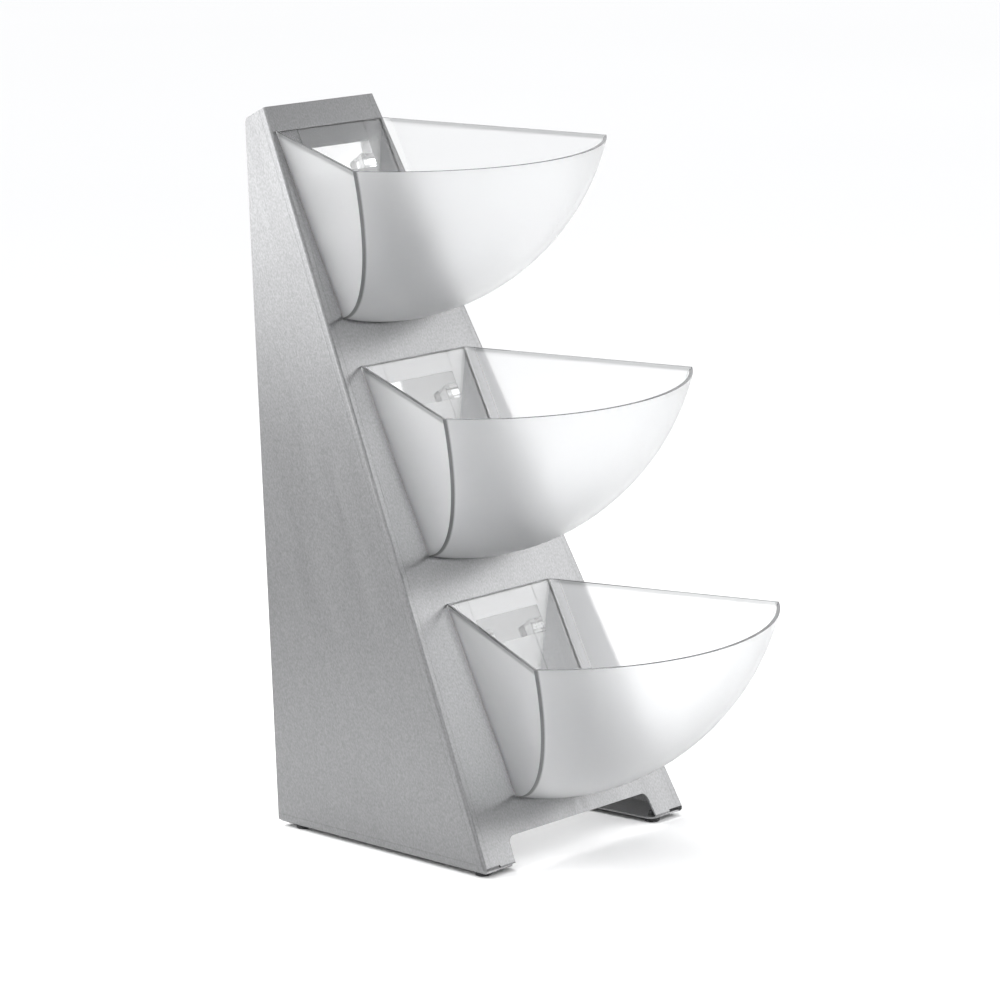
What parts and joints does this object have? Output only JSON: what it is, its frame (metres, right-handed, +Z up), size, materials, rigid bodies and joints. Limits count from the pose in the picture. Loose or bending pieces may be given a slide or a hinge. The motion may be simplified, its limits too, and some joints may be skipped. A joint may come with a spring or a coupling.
{
  "type": "three-tier countertop display stand",
  "caption": "Folded brushed-steel stand with a sloping front carrying frosted wedge-shaped bowls, hung one above the other, on push-in rubber feet.",
  "frame": {"origin": "middle of the bounding box in X and Y, at the level of the feet's undersides", "axes": "+X to the stand's left-to-right width seen from the front, -Y out of the sloping front towards the shopper, +Z up"},
  "size_m": [0.2514, 0.3652, 0.483],
  "materials": {
    "brushed_sheet": "fine brushed, satin",
    "frosted_plastic": "translucent, frosted outside",
    "foot_rubber": "matte"
  },
  "bodies": {
    "frame": {"frame_shell": "brushed_sheet", "foot_front_left": "foot_rubber", "foot_front_right": "foot_rubber", "foot_back_left": "foot_rubber", "foot_back_right": "foot_rubber"},
    "bowl_top": {"bowl_top": "frosted_plastic"},
    "bowl_middle": {"bowl_middle": "frosted_plastic"},
    "bowl_bottom": {"bowl_bottom": "frosted_plastic"}
  },
  "joints": [
    {"name": "bowl_top_lift_off", "type": "slide", "parent": "frame", "child": "bowl_top", "axis": [0, -0.8054, 0.5927], "range_m": [0, 0.26]},
    {"name": "bowl_middle_lift_off", "type": "slide", "parent": "frame", "child": "bowl_middle", "axis": [0, -0.8054, 0.5927], "range_m": [0, 0.26]},
    {"name": "bowl_bottom_lift_off", "type": "slide", "parent": "frame", "child": "bowl_bottom", "axis": [0, -0.8054, 0.5927], "range_m": [0, 0.26]}
  ]
}
